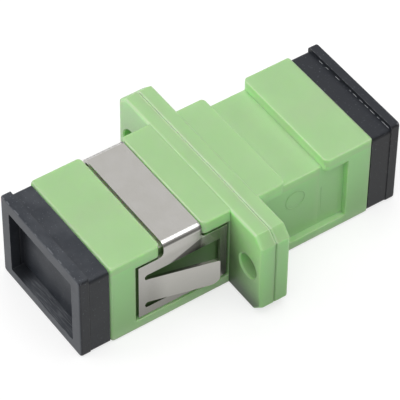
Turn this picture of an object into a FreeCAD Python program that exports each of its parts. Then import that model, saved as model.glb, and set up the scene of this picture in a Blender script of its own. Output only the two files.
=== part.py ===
import FreeCAD, Part
import math
import os

V = FreeCAD.Vector

# Frame: X across the flange, Y along the optical axis with the spring clip half
# at negative Y, Z up. The origin is on the axis, in the plane where the two
# housing halves meet. All sizes are millimetres, and distances along Y are
# counted outwards from the meeting plane.

# Port for the plug, and the walls around it
port_width = 9.0
port_height = 7.4
side_wall = 1.75
roof_wall = 0.9
port_lead = 0.25
key_width = 2.3
key_depth = 0.5
body_width = port_width + 2 * side_wall
body_height = port_height + 2 * roof_wall

# Flange with its two screw holes
flange_half = 1.5
flange_proud = 0.1
hole_pitch = 18.0
hole_diameter = 2.4
ear_margin = 2.0
ear_chamfer = 1.0
edge_round = 0.2
end_round = 0.35
under_round = 0.08
weld_bevel = 0.1
hole_bevel = 0.12
flange_width = hole_pitch + 2 * ear_margin
flange_height = body_height + 2 * flange_proud

# Groove over the top, pockets in the sides and what follows them along Y
shoulder_length = 2.85
groove_length = 4.32
groove_depth = 1.1
groove_roof = 0.5
groove_end_wall = 0.35
groove_corner = 0.5
groove_rim_round = 0.12
pocket_rim_round = 0.08
floor_round = 0.1
pocket_past_groove = 2.51
pocket_from_top = 1.4
pocket_from_bottom = 0.95
near_pocket_depth = 0.6
far_pocket_depth = 0.3
nose_length = 2.62
groove_start = flange_half + shoulder_length
groove_end = groove_start + groove_length
groove_floor = body_height / 2 - groove_depth
pocket_end = groove_end + pocket_past_groove
pocket_top = body_height / 2 - pocket_from_top
pocket_bottom = pocket_from_bottom - body_height / 2
pocket_near = body_width / 2 - near_pocket_depth
pocket_far = body_width / 2 - far_pocket_depth
half_length = pocket_end + nose_length
port_inner = groove_end + groove_end_wall
passage_roof = groove_floor - groove_roof

# Spring clip, folded from one strip of sheet
sheet = 0.3
bend_outer = 0.55
bridge_lift = 0.58
bridge_front_gap = 0.37
bridge_rear_gap = 0.07
near_leg_gap = 0.25
leg_flange_gap = 0.25
leg_end_gap = 0.32
leg_top_gap = 0.28
leg_bottom_gap = 0.3
neck_round = 0.5
bar_flange = 0.7
bar_root = 0.62
bar_top = 1.32
bar_bottom = 0.85
slot_above = 0.6
slot_below = 0.62
root_setback = 0.35
panel_gap = 1.85
tongue_angle = 11.7
tongue_droop = 0.45
tongue_corner = 0.9
tongue_upper_corner = 0.3
bridge_top = groove_floor + bridge_lift + sheet
bridge_start = groove_start + bridge_rear_gap
bridge_end = groove_end - bridge_front_gap
leg_near = pocket_near + near_leg_gap
leg_far = pocket_far
leg_start = flange_half + leg_flange_gap
leg_end = pocket_end - leg_end_gap
leg_top = pocket_top - leg_top_gap
leg_bottom = pocket_bottom + leg_bottom_gap
window_start = leg_start + bar_flange
window_end = leg_end - bar_root
window_top = leg_top - bar_top
window_bottom = leg_bottom + bar_bottom
tongue_top = window_top - slot_above
tongue_bottom = window_bottom + slot_below
tongue_root = window_end - root_setback
tongue_tip = flange_half + panel_gap

# Split sleeve
sleeve_outer = 3.2
sleeve_inner = 2.5
sleeve_length = 11.4
sleeve_slit = 0.5
sleeve_bevel = 0.08
sleeve_play = 0.06
sleeve_end_gap = 0.05

# Latch plate in its seat, with hooked arms and half of the sleeve's tube
slip = 0.05
seat_depth = 1.45
seat_side_step = 0.7
seat_roof_step = 0.2
plate_round = 0.3
arm_gap = 0.15
arm_thick = 0.9
arm_height = 2.6
arm_plug_gap = 0.5
hook_reach = 0.6
hook_length = 1.3
hook_back = 0.15
hook_lead = 0.1
arm_bevel = 0.2
tube_wall = 0.79
stop_thick = 0.55
mouth_gap = 0.15
seat_width = port_width + 2 * seat_side_step
seat_height = port_height + 2 * seat_roof_step
plug_end = port_inner + slip
arm_end = plug_end - arm_plug_gap
arm_outer = port_width / 2 - arm_gap
arm_inner = arm_outer - arm_thick
tube_bore = sleeve_outer + 2 * sleeve_play
tube_outer = tube_bore + 2 * tube_wall
stop_start = sleeve_length / 2 + sleeve_end_gap
tube_end = stop_start + stop_thick
tube_mouth = sleeve_inner + 2 * mouth_gap

# Dust cap
cap_reach = 3.0
cap_side_inset = 0.1
cap_roof_inset = 0.25
lip_side_proud = 0.05
lip_roof_proud = 0.4
lip_under_proud = 0.08
lip_thick = 0.95
rim_side = 1.28
rim_roof = 1.275
rim_under = 1.1
cup_depth = 1.3
cup_round = 0.12
cap_web = 1.2
plug_wall = 0.9
plug_round = 0.3
plug_bevel = 0.25
cap_top_round = 0.45
cap_bottom_round = 0.3
lip_top_round = 0.35
lip_bottom_round = 0.35
rim_round = 0.2
cap_width = body_width - 2 * cap_side_inset
cap_top = body_height / 2 - cap_roof_inset
lip_width = cap_width + 2 * lip_side_proud
lip_top = cap_top + lip_roof_proud
cap_bottom = lip_under_proud - lip_top
cup_width = lip_width - 2 * rim_side
cup_top = lip_top - rim_roof
cup_bottom = rim_under - lip_top

# How far a cutting shape runs past the face it cuts, and how far joined shapes share
beyond = 1.0
shared = 0.2
tiny = 1e-6


def block(x0, x1, y0, y1, z0, z1):
    return Part.makeBox(x1 - x0, y1 - y0, z1 - z0, V(x0, y0, z0))


# A block between two distances from the middle, on one side of it along X
def side_block(side, near_x, far_x, y0, y1, z0, z1):
    xs = sorted([side * near_x, side * far_x])
    return block(xs[0], xs[1], y0, y1, z0, z1)


def slab(width, height, y0, y1):
    return block(-width / 2, width / 2, y0, y1, -height / 2, height / 2)


def rod(diameter, y0, y1, x=0.0, z=0.0):
    return Part.makeCylinder(diameter / 2, y1 - y0, V(x, y0, z), V(0, 1, 0))


def same(a, b):
    return abs(a - b) < tiny


def edges_where(shape, test):
    return [edge for edge in shape.Edges if test(edge.BoundBox)]


def runs_along_y(box):
    return box.YLength > tiny and box.XLength < tiny and box.ZLength < tiny


def runs_along_x(box):
    return box.XLength > tiny and box.YLength < tiny and box.ZLength < tiny


# A long block between two heights, whose top and bottom edges have their own rounding
def rounded_bar(width, low, high, y0, y1, top_round, bottom_round):
    shape = block(-width / 2, width / 2, y0, y1, low, high)
    top = edges_where(shape, lambda b: runs_along_y(b) and b.ZMin > 0)
    shape = shape.makeFillet(top_round, top)
    bottom = edges_where(shape, lambda b: runs_along_y(b) and b.ZMax < 0)
    return shape.makeFillet(bottom_round, bottom)


# A block with its four long edges rounded alike
def soft_slab(width, height, y0, y1, radius):
    return rounded_bar(width, -height / 2, height / 2, y0, y1, radius, radius)


# Body of the front half, open end towards negative Y
def body_block():
    half = body_height / 2
    shape = rounded_bar(body_width, -half, half, -half_length, 0, edge_round, under_round)
    end = edges_where(shape, lambda b: same(b.YMin, -half_length) and same(b.YMax, -half_length))
    return shape.makeFillet(end_round, end)


def flange_block():
    shape = slab(flange_width, flange_height, -flange_half, 0)
    shape = shape.makeChamfer(ear_chamfer, edges_where(shape, runs_along_y))
    front = edges_where(shape, lambda b: same(b.YMax, -flange_half))
    shape = shape.makeFillet(end_round, front)
    weld = edges_where(shape, lambda b: same(b.YMin, 0))
    shape = shape.makeChamfer(weld_bevel, weld)
    for side in (-1, 1):
        shape = shape.cut(rod(hole_diameter, -flange_half - beyond, beyond, x=side * hole_pitch / 2))
    rims = edges_where(shape, lambda b: same(b.YMax, -flange_half) and same(b.XLength, hole_diameter))
    return shape.makeChamfer(hole_bevel, rims)


def rectangle(width, height, y):
    w = width / 2
    h = height / 2
    points = [V(-w, y, -h), V(w, y, -h), V(w, y, h), V(-w, y, h)]
    return Part.makePolygon(points + [points[0]])


# Port mouth with its lead-in, key slot, passage to the middle and seat of the latch plate
def port_cavity():
    half = port_width / 2
    roof = port_height / 2
    open_end = -half_length - beyond
    mouth = slab(port_width, port_height, open_end, -port_inner)
    passage = block(-half, half, -port_inner, beyond, -roof, passage_roof)
    key = block(-key_width / 2, key_width / 2, open_end, -port_inner, 0, roof + key_depth)
    seat = slab(seat_width, seat_height, -seat_depth, beyond)
    wide = rectangle(port_width + 2 * port_lead, port_height + 2 * port_lead, -half_length)
    narrow = rectangle(port_width, port_height, port_lead - half_length)
    lead = Part.makeLoft([wide, narrow], True, True)
    return mouth.fuse([passage, key, seat, lead])


# Square outer corner of a groove wall, less the round corner that stays
def groove_corner_cut(side, y_edge, y_side, depth_at):
    half = body_width / 2
    centre_x = side * (half - groove_corner)
    centre_y = y_edge + y_side * groove_corner
    ys = sorted([y_edge, centre_y])
    over = flange_height
    square = side_block(side, half - groove_corner, half + beyond, ys[0], ys[1], pocket_top, over)
    keep = Part.makeCylinder(groove_corner, over - pocket_top, V(centre_x, centre_y, pocket_top))
    core = side_block(side, 0, depth_at, ys[0], ys[1], pocket_top, groove_floor)
    return square.cut([keep, core])


# Groove across the top for the bridge of the clip
def top_groove():
    half = body_width / 2 + beyond
    cuts = [block(-half, half, -groove_end, -groove_start, groove_floor, flange_height)]
    for side, depth_at in ((1, pocket_near), (-1, pocket_far)):
        cuts.append(groove_corner_cut(side, -groove_end, -1, depth_at))
        cuts.append(groove_corner_cut(side, -groove_start, 1, depth_at))
    return cuts


# Pocket for one leg of the clip, open upwards into the groove over a rounded floor edge
def side_pocket(side, depth_at):
    outside = body_width / 2 + beyond
    pocket = side_block(side, depth_at, outside, -pocket_end, -flange_half, pocket_bottom, pocket_top)
    throat = side_block(side, depth_at, outside, -groove_end, -groove_start, 0, flange_height)
    middle_x = depth_at - floor_round
    middle_z = groove_floor - floor_round
    square = side_block(side, middle_x, outside, -groove_end, -groove_start, middle_z, flange_height)
    keep = rod(2 * floor_round, -groove_end, -groove_start, x=side * middle_x, z=middle_z)
    return [pocket, throat, square.cut(keep)]


# True for the top edge of either groove wall, round corners included
def on_groove_rim(box):
    high = box.ZMin > body_height / 2 - edge_round - tiny
    front = box.YMin > -groove_end - groove_corner - tiny and box.YMax < -groove_end + tiny
    rear = box.YMin > -groove_start - tiny and box.YMax < -groove_start + groove_corner + tiny
    return high and (front or rear)


# True for the edge that a side pocket leaves in the side of the body
def on_pocket_rim(box):
    on_side = box.XLength < tiny and same(abs(box.XMin), body_width / 2)
    along = box.YMin > -pocket_end - tiny and box.YMax < -flange_half + tiny
    at_flange = same(box.YMin, -flange_half)
    return on_side and along and not at_flange and box.ZMax < pocket_top + tiny


def housing_half():
    shape = body_block().fuse(flange_block())
    cuts = top_groove()
    cuts += side_pocket(1, pocket_near)
    cuts += side_pocket(-1, pocket_far)
    cuts.append(port_cavity())
    shape = shape.cut(cuts).removeSplitter()
    shape = shape.makeFillet(groove_rim_round, edges_where(shape, on_groove_rim))
    return shape.makeFillet(pocket_rim_round, edges_where(shape, on_pocket_rim))


# Outline of the folded strip seen along Y, closed across its open bottom
def strip_outline(inset, low):
    left = -leg_far - sheet + inset
    right = leg_near + sheet - inset
    top = bridge_top - inset
    r = bend_outer - inset
    k = r * (1 - math.sqrt(0.5))
    left_bend = Part.Arc(V(left, 0, top - r), V(left + k, 0, top - k), V(left + r, 0, top))
    right_bend = Part.Arc(V(right - r, 0, top), V(right - k, 0, top - k), V(right, 0, top - r))
    path = [Part.makeLine(V(left, 0, low), V(left, 0, top - r)), left_bend.toShape()]
    path += [Part.makeLine(V(left + r, 0, top), V(right - r, 0, top)), right_bend.toShape()]
    path += [Part.makeLine(V(right, 0, top - r), V(right, 0, low))]
    path += [Part.makeLine(V(right, 0, low), V(left, 0, low))]
    return Part.Face(Part.Wire(path))


# Rounded web where the narrow neck widens into the legs
def neck_web(y_edge, y_side):
    span = flange_width
    centre_y = y_edge + y_side * neck_round
    centre_z = leg_top + neck_round
    ys = sorted([y_edge, centre_y])
    filler = block(-span, span, ys[0], ys[1], leg_top, centre_z)
    start = V(-span - beyond, centre_y, centre_z)
    return filler.cut(Part.makeCylinder(neck_round, 2 * (span + beyond), start, V(1, 0, 0)))


# Folded strip without windows: wide legs, narrow neck and bridge
def folded_strip():
    band = strip_outline(0, leg_bottom).cut(strip_outline(sheet, leg_bottom - beyond))
    wide = band.extrude(V(0, leg_end - leg_start, 0))
    wide.translate(V(0, -leg_end, 0))
    span = flange_width
    top = bridge_top + beyond
    front_cut = block(-span, span, -leg_end - beyond, -bridge_end, leg_top, top)
    rear_cut = block(-span, span, -bridge_start, beyond, leg_top, top)
    webs = [wide.common(neck_web(-bridge_end, -1)), wide.common(neck_web(-bridge_start, 1))]
    return wide.cut([front_cut, rear_cut]).fuse(webs).removeSplitter()


# A round-ended slot that starts at the root of the tongue
def round_slot(side, inner, z0, z1):
    radius = (z1 - z0) / 2
    start = -window_end + radius
    straight = side_block(side, inner - beyond, inner + sheet + beyond, start, -window_start, z0, z1)
    centre = V(side * (inner - beyond), start, z0 + radius)
    end = Part.makeCylinder(radius, sheet + 2 * beyond, centre, V(side, 0, 0))
    return [straight, end]


# Tongue bent outwards, drawn seen from above, pulled through its height and trimmed
def leg_tongue(side, inner):
    lean = math.radians(tongue_angle)
    reach = tongue_root - tongue_tip
    outer = inner + sheet
    root = -window_end - shared
    tip = V(outer + reach * math.tan(lean), -tongue_tip, 0)
    back = V(tip.x - sheet * math.cos(lean), tip.y + sheet * math.sin(lean), 0)
    inner_bend = V(inner, -tongue_root + sheet * math.tan(lean / 2), 0)
    points = [V(inner, root, 0), inner_bend, back, tip, V(outer, -tongue_root, 0), V(outer, root, 0)]
    points = [V(side * p.x, p.y, tongue_bottom - tongue_droop) for p in points]
    face = Part.Face(Part.makePolygon(points + [points[0]]))
    tongue = face.extrude(V(0, 0, tongue_top - tongue_bottom + tongue_droop))
    return tongue.common(tongue_blank(back.y))


# Side view of the tongue, which droops a little to its tip, with its two rounded free corners
def tongue_blank(tip_y):
    wide = flange_width
    root_y = -window_end - beyond
    sides = [(root_y, tongue_bottom), (-tongue_root, tongue_bottom), (tip_y, tongue_bottom - tongue_droop)]
    sides += [(tip_y, tongue_top - tongue_droop), (-tongue_root, tongue_top), (root_y, tongue_top)]
    points = [V(-wide, y, z) for y, z in sides]
    shape = Part.Face(Part.makePolygon(points + [points[0]])).extrude(V(2 * wide, 0, 0))
    low = edges_where(shape, lambda b: runs_along_x(b) and same(b.YMin, tip_y) and b.ZMax < 0)
    shape = shape.makeFillet(tongue_corner, low)
    high = edges_where(shape, lambda b: runs_along_x(b) and same(b.YMin, tip_y) and b.ZMin > 0)
    return shape.makeFillet(tongue_upper_corner, high)


def panel_clip():
    shape = folded_strip()
    for side, inner in ((1, leg_near), (-1, leg_far)):
        outer = inner + sheet + beyond
        cuts = round_slot(side, inner, window_bottom, tongue_bottom)
        cuts += round_slot(side, inner, tongue_top, window_top)
        cuts.append(side_block(side, inner - beyond, outer, -tongue_root, -window_start,
                               window_bottom, window_top))
        shape = shape.cut(cuts).fuse(leg_tongue(side, inner))
    return shape.removeSplitter()


# Hooked arm of the latch, drawn seen from above
def latch_arm(side):
    tip = -arm_end
    hook_x = arm_inner - hook_reach
    points = [V(arm_outer, -seat_depth, 0), V(arm_inner, -seat_depth, 0)]
    points.append(V(arm_inner, tip + hook_length, 0))
    points.append(V(hook_x, tip + hook_length - hook_back, 0))
    points.append(V(hook_x, tip + hook_length / 2, 0))
    points.append(V(arm_inner + hook_lead, tip, 0))
    points.append(V(arm_outer - arm_bevel, tip, 0))
    points.append(V(arm_outer, tip + arm_bevel, 0))
    points = [V(side * p.x, p.y, -arm_height / 2) for p in points]
    face = Part.Face(Part.makePolygon(points + [points[0]]))
    return face.extrude(V(0, 0, arm_height))


def latch():
    plate = soft_slab(seat_width - 2 * slip, seat_height - 2 * slip, -seat_depth, 0, plate_round)
    tube = rod(tube_outer, -tube_end, -seat_depth)
    shape = plate.fuse([tube, latch_arm(-1), latch_arm(1)])
    bore = rod(tube_bore, -stop_start, beyond)
    mouth = rod(tube_mouth, -tube_end - beyond, -stop_start)
    return shape.cut([bore, mouth]).removeSplitter()


def split_sleeve():
    half = sleeve_length / 2
    shape = rod(sleeve_outer, -half, half).cut(rod(sleeve_inner, -sleeve_length, sleeve_length))
    ends = edges_where(shape, lambda b: b.YLength < tiny and b.XLength > sleeve_inner + tiny)
    shape = shape.makeChamfer(sleeve_bevel, ends)
    slit = block(-sleeve_slit / 2, sleeve_slit / 2, -sleeve_length, sleeve_length, 0, sleeve_outer)
    return shape.cut(slit)


# Dust cap of the front port: grip block with lip and cup, hollow plug behind it
def dust_cap():
    face = -half_length - cap_reach
    shoulder = face + lip_thick
    grip = rounded_bar(cap_width, cap_bottom, cap_top, shoulder - shared, -half_length,
                       cap_top_round, cap_bottom_round)
    lip = rounded_bar(lip_width, -lip_top, lip_top, face, shoulder, lip_top_round, lip_bottom_round)
    lip = lip.makeFillet(rim_round, edges_where(lip, lambda b: same(b.YMax, face)))
    plug_width = port_width - 2 * slip
    plug_height = port_height - 2 * slip
    plug = soft_slab(plug_width, plug_height, -half_length, -plug_end, plug_round)
    plug = plug.makeChamfer(plug_bevel, edges_where(plug, lambda b: same(b.YMin, -plug_end)))
    cup = rounded_bar(cup_width, cup_bottom, cup_top, face - beyond, face + cup_depth,
                      cup_round, cup_round)
    hollow = soft_slab(plug_width - 2 * plug_wall, plug_height - 2 * plug_wall,
                       face + cup_depth + cap_web, beyond - plug_end, plug_round)
    return grip.fuse([lip, plug]).cut([cup, hollow]).removeSplitter()


def mirrored(shape):
    return shape.mirror(V(0, 0, 0), V(0, 1, 0))


def save(shape, name):
    solids = shape.Solids
    if len(solids) != 1 or not shape.isValid():
        raise RuntimeError(name + " is not one valid solid")
    solids[0].exportStep(os.path.join("parts", name + ".step"))
    box = solids[0].BoundBox
    print(name, round(solids[0].Volume, 2), "cubic mm, from",
          [round(v, 3) for v in (box.XMin, box.YMin, box.ZMin)], "to",
          [round(v, 3) for v in (box.XMax, box.YMax, box.ZMax)])


os.makedirs("parts", exist_ok=True)
half_shell = housing_half()
save(half_shell, "housing_front")
save(mirrored(half_shell), "housing_rear")
half_latch = latch()
save(half_latch, "latch_front")
save(mirrored(half_latch), "latch_rear")
save(split_sleeve(), "split_sleeve")
save(panel_clip(), "panel_clip")
cap = dust_cap()
save(cap, "dust_cap_front")
save(mirrored(cap), "dust_cap_rear")
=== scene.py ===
# %% [markdown]
# A fibre adapter joins two plugs end to end through a panel. It is 34 mm long: a
# pale green moulded housing in two halves, a spring clip of thin steel strip over
# the front half, and a black dust cap in each port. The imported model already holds
# every solid at its real size, so this script gives each solid its finish, adds
# the fine moulding marks, and lights and frames the whole.

import math
import bpy
from mathutils import Matrix, Vector


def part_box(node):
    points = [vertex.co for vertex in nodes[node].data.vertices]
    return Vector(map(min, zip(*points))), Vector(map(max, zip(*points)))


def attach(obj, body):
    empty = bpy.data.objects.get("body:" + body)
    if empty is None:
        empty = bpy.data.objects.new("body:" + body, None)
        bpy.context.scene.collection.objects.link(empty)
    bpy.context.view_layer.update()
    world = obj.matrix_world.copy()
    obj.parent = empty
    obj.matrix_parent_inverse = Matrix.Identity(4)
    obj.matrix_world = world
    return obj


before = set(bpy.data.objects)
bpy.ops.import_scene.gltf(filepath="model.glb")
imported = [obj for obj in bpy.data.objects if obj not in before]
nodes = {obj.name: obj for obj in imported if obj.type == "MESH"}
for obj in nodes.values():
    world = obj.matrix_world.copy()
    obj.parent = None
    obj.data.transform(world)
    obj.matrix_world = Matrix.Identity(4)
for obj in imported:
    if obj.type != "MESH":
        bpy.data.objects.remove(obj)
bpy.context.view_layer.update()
MM = 0.001
print("nodes:", sorted(nodes))

# %% [markdown]
# The camera comes first, because every other choice is judged through it. The
# photograph was taken from over the corner between the front end and the +X side,
# 47 degrees above the table, with a long lens, which is why the far end is hardly
# smaller than the near one. The position was found by matching the corners of the
# object in the picture.

# %% Camera at the photograph's angle
AZIMUTH = math.radians(54.778)
ELEVATION = math.radians(46.74)
ROLL = math.radians(0.729)
DISTANCE = 243.321 * MM
AIM = Vector((0.299, -0.448, 0.0)) * MM
FOCAL_PIXELS = 2775.189
IMAGE_PIXELS = 400
SENSOR = 36.0
NEAREST_SEEN = 0.01
FARTHEST_SEEN = 5

back = Vector((math.sin(AZIMUTH) * math.cos(ELEVATION),
               -math.cos(AZIMUTH) * math.cos(ELEVATION),
               math.sin(ELEVATION)))
level_right = Vector((math.cos(AZIMUTH), math.sin(AZIMUTH), 0))
level_up = back.cross(level_right)
right = level_right * math.cos(ROLL) + level_up * math.sin(ROLL)
up = level_up * math.cos(ROLL) - level_right * math.sin(ROLL)

camera_data = bpy.data.cameras.new("view_camera")
camera_data.sensor_width = SENSOR
camera_data.lens = FOCAL_PIXELS / IMAGE_PIXELS * SENSOR
camera_data.clip_start = NEAREST_SEEN
camera_data.clip_end = FARTHEST_SEEN
camera = bpy.data.objects.new("view_camera", camera_data)
bpy.context.scene.collection.objects.link(camera)
turned = Matrix((right, up, back)).transposed().to_4x4()
camera.matrix_world = Matrix.Translation(AIM + back * DISTANCE) @ turned
bpy.context.scene.camera = camera
print("lens in mm:", round(camera_data.lens, 1))

# %% [markdown]
# Shader maths reads best as ordinary sums. A Field wraps one socket, and adding or
# multiplying Fields adds the Math node that does it. A comparison gives 1 where it
# holds and 0 elsewhere, so a product of comparisons is a mask.

# %% Fields
class Field:
    def __init__(self, finish, socket):
        self.finish = finish
        self.socket = socket

    def maths(self, operation, first, second):
        return self.finish.node("ShaderNodeMath", {"operation": operation}, {0: first, 1: second})

    def __add__(self, other):
        return self.maths("ADD", self, other)

    def __radd__(self, other):
        return self.maths("ADD", other, self)

    def __sub__(self, other):
        return self.maths("SUBTRACT", self, other)

    def __rsub__(self, other):
        return self.maths("SUBTRACT", other, self)

    def __mul__(self, other):
        return self.maths("MULTIPLY", self, other)

    def __rmul__(self, other):
        return self.maths("MULTIPLY", other, self)

    def __pow__(self, other):
        return self.maths("POWER", self, other)

    def __gt__(self, other):
        return self.maths("GREATER_THAN", self, other)

    def __lt__(self, other):
        return self.maths("LESS_THAN", self, other)

    def __abs__(self):
        return self.maths("ABSOLUTE", self, 0.0)

    def larger(self, other):
        return self.maths("MAXIMUM", self, other)


def between(field, low, high):
    return (field > low) * (field < high)


print("fields ready")

# %% [markdown]
# A Finish is one material. Its node method makes any node from its kind, its settings
# and its inputs. Its colour is built up as a painter works: a ground first, and then
# coats, each laid on with paint where a mask lets it through.

# %% Finishes
class Finish:
    def __init__(self, name):
        self.material = bpy.data.materials.new(name)
        self.material.use_nodes = True
        self.tree = self.material.node_tree
        self.shader = self.tree.nodes["Principled BSDF"]
        self.place = self.node("ShaderNodeTexCoord", output="Object")
        self.colour = None

    def feed(self, socket, value):
        if isinstance(value, Field):
            self.tree.links.new(value.socket, socket)
        else:
            socket.default_value = value

    def node(self, kind, settings=None, values=None, output=0):
        made = self.tree.nodes.new(kind)
        for name, value in (settings or {}).items():
            setattr(made, name, value)
        for name, value in (values or {}).items():
            self.feed(made.inputs[name], value)
        return Field(self, made.outputs[output])

    def set(self, **values):
        for name, value in values.items():
            self.feed(self.shader.inputs[name.replace("_", " ")], value)

    def noise(self, size_mm, detail=2.0, stretch=(1, 1, 1)):
        where = self.node("ShaderNodeMapping", {}, {"Vector": self.place, "Scale": stretch})
        values = {"Vector": where, "Scale": 1 / (size_mm * MM), "Detail": detail}
        return self.node("ShaderNodeTexNoise", {}, values, "Fac")

    def ramp(self, field, low, high):
        values = {"Value": field, "From Min": low, "From Max": high}
        return self.node("ShaderNodeMapRange", {"interpolation_type": "SMOOTHSTEP"}, values)

    def blend(self, amount, first, second):
        return self.node("ShaderNodeMix", {"data_type": "RGBA"}, {0: amount, 6: first, 7: second}, 2)

    def paint(self, amount, colour):
        self.colour = self.blend(amount, self.colour, colour)

    def bump(self, height, depth_mm, strength=1.0):
        values = {"Height": height, "Distance": depth_mm * MM, "Strength": strength}
        return self.node("ShaderNodeBump", {}, values)

    def parts(self, vector):
        split = self.node("ShaderNodeSeparateXYZ", {}, {0: vector}).socket.node
        return [Field(self, output) for output in split.outputs]

    def dress(self, *names):
        for name in names:
            nodes[name].data.materials.clear()
            nodes[name].data.materials.append(self.material)


print("finishes ready")

# %% [markdown]
# Colours are written as they look on a screen, from 0 to 255. The shader works in
# linear light, so the screen's curve is taken off each level. That curve has a short
# straight foot and a power above it.

# %% Colours
CURVE_FOOT = 0.04045
FOOT_SLOPE = 12.92
CURVE_LIFT = 0.055
CURVE_POWER = 2.4


def linear(red, green, blue):
    levels = [v / 255 for v in (red, green, blue)]
    return tuple(v / FOOT_SLOPE if v <= CURVE_FOOT else ((v + CURVE_LIFT) / (1 + CURVE_LIFT)) ** CURVE_POWER
                 for v in levels) + (1,)


print("mid grey in linear light:", round(linear(128, 128, 128)[0], 3))

# %% [markdown]
# Five measures steer all the finishes. Two give a point's place in millimetres and
# the way its face looks. The third finds sharp edges: a Bevel node rounds the normal
# near an edge, so the angle to the true normal shows how near the edge is. The
# fourth finds the modelled roundings, which look along none of the three axes. The
# fifth finds hollows, with the share of the sky that a point sees.

# %% Place, edges and hollows
NEAR_EDGE = (0.02, 0.2)
SQUARE_LOOK = (0.8, 0.97)
FEW_SAMPLES = 6


def place_mm(finish):
    return [part * (1 / MM) for part in finish.parts(finish.place)]


def facing(finish):
    return finish.parts(finish.node("ShaderNodeTexCoord", output="Normal"))


def edge_mask(finish, width_mm):
    flat = finish.node("ShaderNodeNewGeometry", output="True Normal")
    rounded = finish.node("ShaderNodeBevel", {"samples": FEW_SAMPLES}, {"Radius": width_mm * MM})
    values = {0: flat, 1: rounded}
    likeness = finish.node("ShaderNodeVectorMath", {"operation": "DOT_PRODUCT"}, values, "Value")
    return finish.ramp(1 - likeness, *NEAR_EDGE)


def rounded_rim(finish, looks):
    across, along, upward = [abs(part) for part in looks]
    squarest = across.larger(along).larger(upward)
    return 1 - finish.ramp(squarest, *SQUARE_LOOK)


def openness(finish, reach_mm, low, high):
    values = {"Distance": reach_mm * MM}
    seen = finish.node("ShaderNodeAmbientOcclusion", {"samples": FEW_SAMPLES}, values, "AO")
    return finish.ramp(seen, low, high)


print("measures ready")

# %% [markdown]
# The housing is moulded in a pale green plastic with a satin skin. Light enters the
# skin a little way and comes out again. The roof is a thin slab, so it glows where
# it is seen edge on: a clear band, as deep as the roof is thick, under every lit
# rim. The band is painted by height, which keeps its lower line crisp, as scattering
# alone would blur it. All places are in millimetres from the middle of the adapter.

# %% Green plastic: skin and glowing roof
BODY_SIDE = 6.4
SIDE_FOOT = -4.7
SIDE_TOP = 4.2
GROOVE_Y = (4.3, 8.5)
GROOVE_DEPTH = 1.1
ROOF_UNDERSIDE = 3.7
CRISP = 0.08

green = Finish("housing_green")
green_x, green_y, green_z = place_mm(green)
look_x, look_y, look_z = facing(green)
cloud = green.ramp(green.noise(3.5, 3.0), 0.35, 0.65)
green.colour = green.blend(cloud, linear(163, 201, 144), linear(166, 203, 147))

# The side faces are painted a deeper green, darker towards the foot and paler towards the top: painted
# shade and light.
upright = 1 - green.ramp(abs(look_z), 0.3, 0.8)
side_shade_grade = green.ramp(green_z, SIDE_FOOT, SIDE_TOP)
green.paint(0.85 * upright, green.blend(side_shade_grade, linear(152, 203, 133), linear(180, 240, 164)))

on_body = abs(green_x) < BODY_SIDE
in_groove = between(abs(green_y), *GROOVE_Y)
roof_line = ROOF_UNDERSIDE - GROOVE_DEPTH * in_groove
roof_glow = green.ramp(green_z - roof_line, -CRISP, CRISP) * upright * on_body
green.paint(0.8 * roof_glow, linear(184, 224, 164))
print("green skin, roof glow from", ROOF_UNDERSIDE, "mm up")

# %% [markdown]
# The rounded rims are a little glossier and get a painted highlight. Only rims that
# look up catch the light, those on the sides less than those on the ends, and the
# welded edge, the chamfers of the ears and the screw holes not at all. The mask is
# made here and painted last, over the hollows.

# %% Green plastic: which rims get a painted highlight
HOLE_X = 9.0
HOLE_EDGE = 1.3
CHAMFER_X = 9.9
CORNERWISE = 0.55
WELD_Y = (-0.2, 0.01)

in_hole = ((abs(green_x) - HOLE_X) ** 2.0 + green_z ** 2.0) < HOLE_EDGE ** 2
on_chamfer = (abs(green_x) > CHAMFER_X) * (abs(look_x) > CORNERWISE) * (abs(look_z) > CORNERWISE)
rim_highlight = rounded_rim(green, (look_x, look_y, look_z)) * (1 - in_hole) * (1 - on_chamfer)
rim_highlight = rim_highlight * openness(green, 0.4, 0.6, 0.85) * green.ramp(look_z, 0.15, 0.5)
less_at_sides = 0.75 - 0.4 * (green_y > GROOVE_Y[0])
rim_highlight = rim_highlight * (1 - less_at_sides * green.ramp(abs(look_x), 0.3, 0.6))
rim_highlight = rim_highlight * (1 - between(green_y, *WELD_Y))
print("rim mask ready")

# %% [markdown]
# In shallow places light passes from green to green and comes out paler and clearer,
# and that light is painted into the colour. The groove shows it best: its floor and
# the foot of its rear wall are painted bright. The wall beside the clip has painted
# white light on it, as thrown by the steel.

# %% Green plastic: painted light in shallow places and groove
FOOT_RISE_Y = (7.8, 8.6)
FOOT_FLOOR_Z = 3.6
FOOT_WALL_Y = (8.3, 8.8)
FOOT_WALL_Z = (3.45, 3.7, 4.2)
CLIP_WALL_Y = (-8.72, -8.0)
CLIP_WALL_Z = (3.0, 4.42)

shallow_light = 1 - openness(green, 2.0, 0.5, 0.95)
green.paint(0.65 * shallow_light * on_body, linear(194, 236, 178))
foot_floor_light = green.ramp(green_y, *FOOT_RISE_Y) * (green_z < FOOT_FLOOR_Z) * in_groove
green.paint(0.35 * foot_floor_light * on_body, linear(186, 222, 168))

wall_foot, wall_fade, wall_top = FOOT_WALL_Z
foot_wall_light = (1 - green.ramp(green_z, wall_fade, wall_top)) * upright * between(green_y, *FOOT_WALL_Y)
foot_wall_light = foot_wall_light * (green_z > wall_foot) * (abs(look_y) > 0.7)
foot_light_green = green.blend(green.ramp(green_z, 3.5, 3.75), linear(200, 250, 178), linear(196, 246, 176))
green.paint(foot_wall_light * on_body, foot_light_green)

clip_wall_light = between(green_y, *CLIP_WALL_Y) * between(green_z, *CLIP_WALL_Z)
green.paint(clip_wall_light, linear(222, 255, 204))
print("groove from", GROOVE_Y[0], "to", GROOVE_Y[1], "mm")

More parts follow.
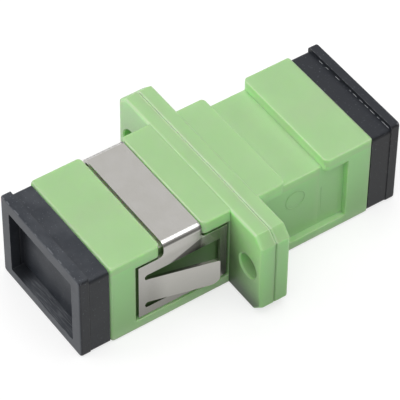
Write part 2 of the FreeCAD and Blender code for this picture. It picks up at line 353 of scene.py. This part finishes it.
# %% [markdown]
# Deep hollows, such as the pockets behind the clip, are painted a dark, strong green
# as painted shade. The last two tenths of a millimetre of each nose get painted shade
# too, where the cap shades them. The painted highlights on the rims go over everything.

# %% Green plastic: painted shade in hollows and nose ends, highlights on rims
SEAM_BAND = 0.16
NOSE_END_Y = (13.58, 13.78)

at_seam = abs(green_y) < SEAM_BAND
hollow_shade = (1 - openness(green, 2.5, 0.0, 0.34)) * (1 - clip_wall_light) * (1 - at_seam)
green.paint(0.75 * hollow_shade, linear(70, 112, 48))
nose_end_shade = green.ramp(abs(green_y), *NOSE_END_Y)
green.paint(0.55 * nose_end_shade, linear(92, 144, 72))
green.paint(0.42 * rim_highlight * (1 - nose_end_shade), linear(216, 234, 202))
print("hollows and rims painted")

# %% [markdown]
# Two places get painted light and shade of their own. The ears stand in the corner
# between body and table: their faces are painted a lit green, paler on the far side,
# and painted shade darkens them towards that corner, on the near side most, and
# towards their foot. The floor of the front side pockets lies under the clip and is
# painted dark as painted shade.

# %% Green plastic: painted light and shade on ears and covered pockets
EAR_FROM_X = 6.3
EAR_FOOT_Z = (-4.9, -2.0)
POCKETS_END_Y = -1.5
POCKET_X = (5.2, 6.0)

ear_face = (abs(green_x) > EAR_FROM_X) * (abs(look_y) > 0.9) * (1 - in_hole)
near_side = green_x > 0
ear_corner_shade = (0.3 + 0.7 * near_side) * (1 - openness(green, 9.0, 0.3, 0.74))
green.paint(0.9 * ear_face, green.blend(near_side, linear(206, 244, 190), linear(188, 244, 164)))
green.paint(0.9 * ear_face * ear_corner_shade, linear(56, 82, 42))
ear_foot_shade = 1 - green.ramp(green_z, *EAR_FOOT_Z)
green.paint(0.8 * ear_face * ear_foot_shade, linear(26, 38, 20))

covered_pocket_shade = (green_y < POCKETS_END_Y) * (abs(look_x) > 0.5) * between(abs(green_x), *POCKET_X)
green.paint(0.82 * covered_pocket_shade, linear(66, 106, 42))
print("ears and pockets painted")

# %% [markdown]
# The two halves are welded where they meet. Each has a small bevel along the joint.
# On top the bevels are painted pale, a painted highlight where they catch the light,
# so the seam reads as a fine pale double line there, and as a dark line down the ends
# of the ears.

# %% Green plastic: seam
SEAM_END_BAND = 0.14
REAR_BEVEL_Y = (0.0, 0.2)
FRONT_BEVEL_Y = (-0.16, 0.0)
LOOKS_UP = 0.4

on_top = look_z > LOOKS_UP
green.paint(0.2 * between(green_y, *REAR_BEVEL_Y) * on_top, linear(210, 240, 194))
green.paint(0.6 * between(green_y, *FRONT_BEVEL_Y) * on_top, linear(206, 244, 186))
seam_end = (abs(green_y) < SEAM_END_BAND) * (1 - in_hole) * (look_z < LOOKS_UP)
green.paint(0.3 * seam_end, linear(96, 146, 80))
print("seam painted")

# %% [markdown]
# The mould was spark-eroded, which leaves a very fine even grain on all the green
# faces. One small noise gives that grain to the bump and to the roughness alike. In
# the narrow gaps round the clip the plastic is lit through its own thickness. More
# scattering would blur the whole housing, so a faint green light is given off there.

# %% Green plastic: grain, light in the gaps, and scattering
FRONT_GAPS_Y = -4.0

grain = green.noise(0.09, 3.0)
green.set(Base_Color=green.colour, Roughness=0.4 + 0.1 * grain - 0.1 * rim_highlight)
green.set(Normal=green.bump(grain, 0.004, 0.35))
narrow = (1 - openness(green, 0.9, 0.0, 0.3)) * (green_y < FRONT_GAPS_Y) * (1 - clip_wall_light)
green.set(Emission_Color=green.blend(narrow, linear(0, 0, 0), linear(44, 64, 32)), Emission_Strength=1.0)
green.set(Subsurface_Weight=0.8, Subsurface_Radius=(0.7, 1.2, 0.5), Subsurface_Scale=1.2 * MM)
green.dress("housing_front", "housing_rear")
print("green finish on the two halves")

# %% [markdown]
# Behind the caps sit the two latch mouldings, in the natural off-white of an
# unfilled engineering plastic: slightly hazy, with a satin face.

# %% Natural plastic of the latches
natural = Finish("latch_natural")
haze = natural.noise(1.2, 2.0)
natural.colour = natural.blend(haze, linear(222, 221, 210), linear(234, 233, 226))
natural.paint(0.4 * edge_mask(natural, 0.1), linear(246, 246, 242))
fine_haze = natural.noise(0.1)
natural.set(Base_Color=natural.colour, Roughness=0.4 + 0.12 * fine_haze)
natural.set(Normal=natural.bump(fine_haze, 0.003, 0.3))
natural.dress("latch_front", "latch_rear")
print("natural plastic on the latches")

# %% [markdown]
# The sleeve is ceramic, ground and then polished. Grinding turns round the axis, so
# the faint lines are noise drawn out across it and packed close along it.

# %% Ceramic of the sleeve
ceramic = Finish("sleeve_ceramic")
ground = ceramic.noise(0.3, 2.0, (1, 6, 1))
ceramic.set(Base_Color=ceramic.blend(ground, linear(240, 238, 229), linear(250, 249, 244)))
ceramic.set(Roughness=0.16 + 0.1 * ground, Normal=ceramic.bump(ground, 0.001, 0.3))
ceramic.dress("split_sleeve")
print("ceramic on the sleeve")

# %% [markdown]
# The clip is cold-rolled spring strip. Rolling leaves fine streaks along the strip,
# which runs across the adapter and down its sides, so the streak noise is drawn out
# along x and z and packed along y. Dust shows as a few dull specks. The legs stand
# upright and mirror the table and the dim room, so painted shade darkens them as a
# painted reflection, more so low down.

# %% Spring steel: rolled strip and shaded legs
SHADE_FROM_Z = 2.6
SHADE_LENGTH = 6.5
LEG_TOP_Z = 3.3
LEG_TOP_FADE = 0.8

steel = Finish("clip_steel")
steel_x, steel_y, steel_z = place_mm(steel)
steel_look_x, steel_look_y, steel_look_z = facing(steel)
tone = steel.ramp(steel.noise(1.6, 3.0), 0.3, 0.7)
steel.colour = steel.blend(tone, linear(181, 179, 174), linear(184, 182, 178))
speck = steel.ramp(steel.noise(0.16, 1.0), 0.74, 0.8)
steel.paint(0.4 * speck, linear(150, 148, 143))

leg_face = steel.ramp(abs(steel_look_x), 0.85, 0.97)
low_down = steel.ramp(SHADE_FROM_Z - steel_z, 0.0, SHADE_LENGTH)
below_bend = steel.ramp(LEG_TOP_Z - steel_z, 0.0, LEG_TOP_FADE)
leg_shade = 0.04 + 0.22 * below_bend + 0.55 * low_down
steel.paint(leg_face * leg_shade, linear(112, 111, 105))
print("steel strip and legs painted")

# %% [markdown]
# Folding the strip over the die raises fine ribs on the outside of the bend. A painted
# highlight draws a bright line there, with small teeth where the ribs break it. Just
# below, where the bend runs out into the leg, it mirrors the dark of the room, and so
# does the rear edge of the strip: both are painted dark as a painted reflection.

# %% Spring steel: painted highlight and reflection on the bend
BEND_FROM_Z = 3.2
STRIP_SIDE_Y = (-4.68, -4.44)

on_bend = (steel_z > BEND_FROM_Z) * (abs(steel_look_y) < 0.4)
side_look = abs(steel_look_x)
ribs = steel.ramp(steel.noise(0.16, 2.0, (0.1, 1.6, 0.1)), 0.3, 0.7)
bend_highlight = steel.ramp(side_look, 0.0, 0.3) * (1 - steel.ramp(side_look, 0.5, 0.8)) * on_bend
steel.paint(bend_highlight * (0.45 + 0.55 * ribs), linear(252, 251, 249))
bend_dark_reflection = steel.ramp(side_look, 0.74, 0.92) * (1 - steel.ramp(side_look, 0.95, 0.998)) * on_bend
steel.paint(0.8 * bend_dark_reflection, linear(84, 83, 79))
strip_side_dark_reflection = steel.ramp(steel_y, *STRIP_SIDE_Y) * on_bend * (side_look > 0.05)
steel.paint(0.8 * strip_side_dark_reflection, linear(88, 86, 82))
print("bend from", BEND_FROM_Z, "mm up")

# %% [markdown]
# Between bridge and tongue the leg looks slightly hollow: a slanting line crosses it,
# and the steel below that line is painted dark as a painted reflection. The tongues
# splay outwards and catch more light, so they are painted paler. Along the upper edge
# of the leg's frame lies one painted highlight, and every sharp edge of the strip gets
# a fainter pale painted highlight.

# %% Spring steel: painted reflection and highlights on hollow, tongues and edges
HOLLOW_START = (-7.4, 1.7)
HOLLOW_SLOPE = 0.39
HOLLOW_FROM_Z = 1.5
HOLLOW_FRONT_Y = (-7.9, -7.3)
HOLLOW_REAR_Y = (-4.6, -4.2)
TONGUE_X = (6.25, 6.6)
FRAME_EDGE_Z = (2.83, 3.0)
FRAME_FROM_Y = -4.3
FRAME_FROM_X = 5.2

hollow_line = HOLLOW_START[1] + HOLLOW_SLOPE * (steel_y - HOLLOW_START[0])
hollow_dark_reflection = steel.ramp(hollow_line - steel_z, -0.06, 0.08) * (steel_z > HOLLOW_FROM_Z) * leg_face
hollow_dark_reflection = hollow_dark_reflection * steel.ramp(steel_y, *HOLLOW_FRONT_Y) * (1 - steel.ramp(steel_y, *HOLLOW_REAR_Y))
steel.paint(0.85 * hollow_dark_reflection, linear(66, 66, 61))
tongue_light = steel.ramp(abs(steel_x), *TONGUE_X) * leg_face
steel.paint(0.22 * tongue_light, linear(214, 212, 206))
frame_edge_highlight = between(steel_z, *FRAME_EDGE_Z) * (steel_y > FRAME_FROM_Y) * (abs(steel_x) > FRAME_FROM_X)
steel.paint(0.8 * frame_edge_highlight, linear(244, 242, 238))
steel.paint(0.5 * edge_mask(steel, 0.06), linear(222, 218, 212))

rolled = steel.noise(0.1, 4.0, (0.2, 2.2, 0.2))
steel.set(Base_Color=steel.colour, Metallic=1.0, Roughness=0.18 + 0.12 * rolled)
steel.set(Normal=steel.bump(rolled, 0.002, 0.3))
steel.dress("panel_clip")
print("steel finish on the clip")

# %% [markdown]
# The caps are a soft charcoal plastic, almost black: what reads as grey is mostly
# the sheen of its fine spark-eroded skin. The front cap has been handled and has
# a thin film of dust, the rear one is cleaner, and it is painted darker as painted
# shade. The sides are painted darker than the tops as painted shade, the rear cap's
# most, and pale specks of dust lie on everything.

# %% Charcoal plastic: colour, film, dust and painted shade
CAP_SIDE_X = 5.8

black = Finish("cap_black")
black_x, black_y, black_z = place_mm(black)
black_look_x, black_look_y, black_look_z = facing(black)
on_front_cap = black_y < 0
on_rear_cap = black_y > 0
skin = black.noise(0.12, 4.0)
black.colour = black.blend(skin, linear(36, 40, 47), linear(46, 50, 58))
film = black.ramp(black.noise(2.2, 3.0), 0.3, 0.75) * (0.25 + 0.75 * on_front_cap)
black.paint(0.18 * film, linear(112, 115, 120))
cap_side_shade = black.ramp(abs(black_look_x), 0.6, 0.9) * (abs(black_x) > CAP_SIDE_X)
black.paint(0.8 * cap_side_shade, linear(14, 17, 22))
black.paint(0.5 * on_rear_cap, linear(20, 22, 28))
black.paint(0.5 * on_rear_cap * cap_side_shade, linear(3, 4, 7))
dust = black.ramp(black.noise(0.13, 1.0), 0.7, 0.77)
black.paint(0.36 * dust, linear(134, 140, 148))
print("charcoal, film and dust painted")

# %% [markdown]
# Wear and painted shade come next. Rims are rubbed pale in short dashes, least along
# the foot of the front cap's lip. On the sides a dark line of painted shade lies in
# the step between grip and lip, plainer on the front cap than on the rear one.

# %% Charcoal plastic: worn rims and painted shade in the step
STEP_Y = 15.85
STEP_BAND = 0.2
STEP_SHADE_Y = 15.86
END_RIMS_Y = 16.5

worn = edge_mask(black, 0.1) * openness(black, 0.4, 0.55, 0.8)
front_step = (abs(black_y + STEP_Y) < STEP_BAND) * (black_look_z > 0.3)
worn = worn * (1 - 0.8 * front_step)
dashes = black.ramp(black.noise(0.5, 3.0), 0.5, 0.62)
black.paint(0.35 * worn * (0.3 + dashes), linear(176, 178, 180))
# The end rims that look up are painted paler in dashes: partly wear, partly a painted highlight.
rubbed_rim_highlight = rounded_rim(black, (black_look_x, black_look_y, black_look_z)) * (abs(black_y) > END_RIMS_Y)
rubbed_rim_highlight = rubbed_rim_highlight * black.ramp(black_look_z, 0.2, 0.5) * dashes
black.paint(0.2 * rubbed_rim_highlight, linear(186, 190, 196))

looks_aside = abs(black_look_x) > 0.6
step_shade = (1 - black.ramp(abs(abs(black_y) - STEP_SHADE_Y), 0.02, 0.07)) * looks_aside
black.paint((0.3 + 0.5 * on_front_cap) * step_shade, linear(16, 17, 19))
print("worn rims and step painted")

# %% [markdown]
# Each cap's end has a rectangular cup. Streaks run along its lower wall, such as a
# tool draws that pushes the cap in. The end towards -X is painted in deep shade, which
# fades out over two millimetres. The face round the cup is painted paler than the
# rest, as painted light.

# %% Charcoal plastic: cup and lip
CUP_WALL_FROM_Y = 15.4
CUP_Y = (15.3, 16.7)
CUP_HALF_WIDTH = 4.98
CUP_HALF_HEIGHT = 3.6
WALL_SHADE_X = (-4.2, -2.2)
CORNER_SHADE_X = (-4.9, -3.4)
LIP_FACE_FROM_Y = 16.2

streak = black.ramp(black.noise(0.16, 3.0, (0.12, 1.6, 1)), 0.45, 0.7)
lower_wall = (black_look_z > 0.7) * (black_z < 0) * (abs(black_y) > CUP_WALL_FROM_Y)
wall_shade = 1 - black.ramp(black_x, *WALL_SHADE_X)
black.paint(lower_wall * (0.16 + 0.3 * streak) * (1 - wall_shade), linear(150, 153, 158))
black.paint(0.6 * lower_wall * wall_shade, linear(16, 17, 19))
in_cup = between(abs(black_y), *CUP_Y) * (abs(black_x) < CUP_HALF_WIDTH) * (abs(black_z) < CUP_HALF_HEIGHT)
corner_shade = in_cup * (1 - black.ramp(black_x, *CORNER_SHADE_X))
black.paint(0.4 * corner_shade, linear(12, 13, 15))
lip_face_light = (abs(black_look_y) > 0.8) * (abs(black_y) > LIP_FACE_FROM_Y)
black.paint(0.24 * lip_face_light, linear(128, 132, 138))
print("cup and lip painted")

# %% [markdown]
# The skin's grain and a fine groove along the step go into one bump. The groove is
# the line where two parts of the mould met, and it shows on the sides only.

# %% Charcoal plastic: grain and dressing
PARTED_Y = 15.82

black.set(Base_Color=black.colour, Roughness=0.4 + 0.16 * skin - 0.06 * worn)
black.set(Specular_IOR_Level=0.36)
parted = 1 - black.ramp(abs(abs(black_y) - PARTED_Y), 0.0, 0.06)
black.set(Normal=black.bump(0.1 * skin - parted * looks_aside, 0.06, 0.5))
black.dress("dust_cap_front", "dust_cap_rear")
print("charcoal finish on the caps")

# %% [markdown]
# Moulding leaves small marks that a plain solid lacks. Each is a primitive, added at
# its real place and then shaped in edit mode. Four helpers do what all of them need:
# add with nothing else selected, pick faces by a test, soften the edges, and settle
# the finished piece on its body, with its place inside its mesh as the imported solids
# have it.

# %% Helpers for the small pieces
SMOOTH_BELOW = math.radians(35)


def start_piece(add, name, **place):
    bpy.ops.object.select_all(action="DESELECT")
    add(**place)
    bpy.ops.object.transform_apply(location=True, rotation=True, scale=True)
    bpy.context.object.name = name
    return bpy.context.object


def pick_faces(piece, test):
    bpy.ops.object.mode_set(mode="EDIT")
    bpy.ops.mesh.select_mode(type="FACE")
    bpy.ops.mesh.select_all(action="DESELECT")
    bpy.ops.object.mode_set(mode="OBJECT")
    for face in piece.data.polygons:
        face.select = test(face)
    bpy.ops.object.mode_set(mode="EDIT")


def soften(piece, width_mm):
    bpy.ops.object.mode_set(mode="OBJECT")
    bevel = piece.modifiers.new("soft_edges", "BEVEL")
    bevel.width = width_mm * MM
    bevel.segments = 2
    bpy.ops.object.modifier_apply(modifier=bevel.name)


def settle(piece, body, finish):
    bpy.ops.object.shade_smooth_by_angle(angle=SMOOTH_BELOW)
    piece.data.materials.clear()
    piece.data.materials.append(finish.material)
    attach(piece, body)
    print(piece.name, "has", len(piece.data.polygons), "faces and rides on", body)


# %% [markdown]
# The mould's ejector pin pushed each rear pocket out and left a shallow raised ring.
# A torus becomes that ring once it is flattened against the floor of the pocket. The
# marks are too thin for light to wander in them, so their green has no scattering.

# %% Ejector pin marks in the rear side pockets
POCKET_FLOORS = {"right": 5.65, "left": -5.95}
PIN_Y = 5.95
PIN_Z = 0.9
PIN_RADIUS = 1.0
RING_THICKNESS = 0.065
FLATTENED = (0.7, 1, 1)

mark = Finish("moulding_mark")
fleck = mark.noise(0.12, 2.0)
mark.set(Base_Color=mark.blend(fleck, linear(156, 208, 138), linear(166, 218, 148)))
mark.set(Roughness=0.4 + 0.1 * fleck, Normal=mark.bump(fleck, 0.004, 0.35))

for side_name, floor_x in POCKET_FLOORS.items():
    ring = start_piece(
        bpy.ops.mesh.primitive_torus_add, "pin_mark_" + side_name, major_segments=72, minor_segments=10,
        major_radius=PIN_RADIUS * MM, minor_radius=RING_THICKNESS * MM,
        location=(floor_x * MM, PIN_Y * MM, PIN_Z * MM), rotation=(0, math.pi / 2, 0))
    pick_faces(ring, lambda face: True)
    bpy.ops.transform.resize(value=FLATTENED)
    bpy.ops.object.mode_set(mode="OBJECT")
    settle(ring, "adapter", mark)

# %% [markdown]
# Beside the ring runs a hairline, where two blocks of the mould met. It leans two
# degrees, as it does in the photograph. A thin bar stands for it, with its ends
# narrowed.

# %% Parting lines in the rear side pockets
LINE_Y = 8.795
LINE_Z = -0.7
LINE_WIDTH = 0.07
LINE_LENGTH = 3.14
LEAN = 0.035
NARROWED = (0.6, 0.6, 1)
LINE_ROUND = 0.008

for side_name, floor_x in POCKET_FLOORS.items():
    line = start_piece(
        bpy.ops.mesh.primitive_cube_add, "parting_line_" + side_name,
        size=MM, scale=(LINE_WIDTH, LINE_WIDTH, LINE_LENGTH),
        location=(floor_x * MM, LINE_Y * MM, LINE_Z * MM), rotation=(LEAN, 0, 0))
    pick_faces(line, lambda face: abs(face.normal.z) > 0.9)
    bpy.ops.transform.resize(value=NARROWED)
    soften(line, LINE_ROUND)
    settle(line, "adapter", mark)

# %% [markdown]
# Soft plastic crept into the mould's joint at the foot of the rear cap's lip. The
# slivers broke off in places, so a broken pale line is left. One sliver is modelled
# here, a bar a millimetre long with narrowed ends.

# %% One sliver of flash
LIP_FOOT_Y = 15.805
LIP_FOOT_Z = 4.37
SLIVER_DEPTH = 0.1
SLIVER_HEIGHT = 0.08
TAPERED = (1, 0.4, 0.4)
SLIVER_ROUND = 0.015

torn = Finish("torn_flash")
tear = torn.noise(0.12, 3.0)
torn.set(Base_Color=torn.blend(tear, linear(150, 153, 158), linear(232, 233, 236)))
torn.set(Roughness=0.45 + 0.2 * tear, Normal=torn.bump(tear, 0.01, 0.5))

sliver = start_piece(
    bpy.ops.mesh.primitive_cube_add, "sliver", size=MM, scale=(1, SLIVER_DEPTH, SLIVER_HEIGHT),
    location=(0, LIP_FOOT_Y * MM, LIP_FOOT_Z * MM))
pick_faces(sliver, lambda face: abs(face.normal.x) > 0.9)
bpy.ops.transform.resize(value=TAPERED)
soften(sliver, SLIVER_ROUND)
print("sliver has", len(sliver.data.polygons), "faces")

# %% [markdown]
# The sliver is copied along the lip, each copy with its own mesh, at the places and
# lengths of the pale dashes on the real cap. Joined, the copies are one torn edge.

# %% Flash along the rear cap's lip
SLIVERS = [(-4.2, 0.5), (-3.25, 0.4), (-1.7, 0.6), (0.2, 0.25), (0.9, 0.55), (1.8, 0.45),
           (2.6, 0.5), (3.45, 0.7), (4.3, 0.3), (5.1, 0.6), (5.65, 0.4)]

copies = []
for x_mm, length in SLIVERS:
    copy = sliver.copy()
    copy.data = sliver.data.copy()
    bpy.context.scene.collection.objects.link(copy)
    copy.location.x = x_mm * MM
    copy.scale.x = length
    copies.append(copy)
bpy.data.objects.remove(sliver)
bpy.ops.object.select_all(action="DESELECT")
for copy in copies:
    copy.select_set(True)
bpy.context.view_layer.objects.active = copies[0]
bpy.ops.object.transform_apply(location=True, rotation=True, scale=True)
bpy.ops.object.join()
flash = bpy.context.object
flash.name = "rear_cap_flash"
settle(flash, "rear_cap", torn)

# %% [markdown]
# The adapter stands on a plain pale sheet. Light Path's Is Camera Ray lifts it to
# white where the camera sees it, and Is Glossy Ray and Is Transmission Ray do the
# same in the steel and the sheen of the plastic. The sheet still takes a shadow,
# because only a part of its brightness is lifted.

# %% Floor
FLOOR_SIZE = 1.6
LIFT = 0.67

lowest = min(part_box(name)[0].z for name in nodes)
bpy.ops.object.select_all(action="DESELECT")
bpy.ops.mesh.primitive_plane_add(size=FLOOR_SIZE, location=(0, 0, lowest))
floor = bpy.context.object
floor.name = "floor"

paper = Finish("floor_paper")
fibre = paper.noise(2.0, 3.0)
seen = paper.node("ShaderNodeLightPath", output="Is Camera Ray")
mirrored = paper.node("ShaderNodeLightPath", output="Is Glossy Ray")
through = paper.node("ShaderNodeLightPath", output="Is Transmission Ray")
paper.set(Base_Color=paper.blend(fibre, linear(160, 160, 160), linear(164, 164, 164)), Roughness=0.9)
paper.set(Emission_Color=paper.blend(seen + mirrored + through, (0, 0, 0, 1), (LIFT, LIFT, LIFT, 1)))
paper.set(Emission_Strength=1.0)
floor.data.materials.append(paper.material)
print("floor at", round(lowest / MM, 2), "mm")

# %% [markdown]
# Three soft lamps and even air light it. A wide box overhead does most of the work:
# it lights the tops, lets the sides fall off, and draws the white line round the
# bend of the clip. A small box in front on the left gives the ears their bright face
# and leaves the corner by the body in shade. A dim panel behind on the left is what
# the flat top of the clip mirrors.

# %% Air and softboxes
AIR_GLOW = 0.45
LAMP_DISTANCE_MM = 320

world = bpy.data.worlds.new("studio_air")
bpy.context.scene.world = world
world.use_nodes = True
air = world.node_tree.nodes["Background"]
air.inputs["Color"].default_value = (1, 1, 1, 1)
air.inputs["Strength"].default_value = AIR_GLOW


def softbox(name, direction, wide_mm, tall_mm, glow, across=(0, 0, 1)):
    data = bpy.data.lights.new(name, "AREA")
    data.shape = "RECTANGLE"
    data.size = wide_mm * MM
    data.size_y = tall_mm * MM
    data.energy = glow * math.pi * wide_mm * tall_mm * MM ** 2
    lamp = bpy.data.objects.new(name, data)
    bpy.context.scene.collection.objects.link(lamp)
    aim = Vector(direction).normalized()
    tall = aim.cross(Vector(across)).normalized()
    wide = tall.cross(aim)
    turned = Matrix((wide, tall, aim)).transposed().to_4x4()
    lamp.matrix_world = Matrix.Translation(aim * LAMP_DISTANCE_MM * MM) @ turned
    print(name, "glow", glow, "at", [round(v * LAMP_DISTANCE_MM) for v in aim], "mm")


softbox("overhead_box", (0.17, -0.10, 0.98), 400, 440, 1.5, across=(1, 0, 0))
softbox("front_box", (-0.50, -0.76, 0.42), 120, 120, 3.5)
softbox("back_panel", (-0.62, 0.42, 0.66), 200, 200, 0.6)
bpy.context.scene.view_settings.view_transform = "Standard"
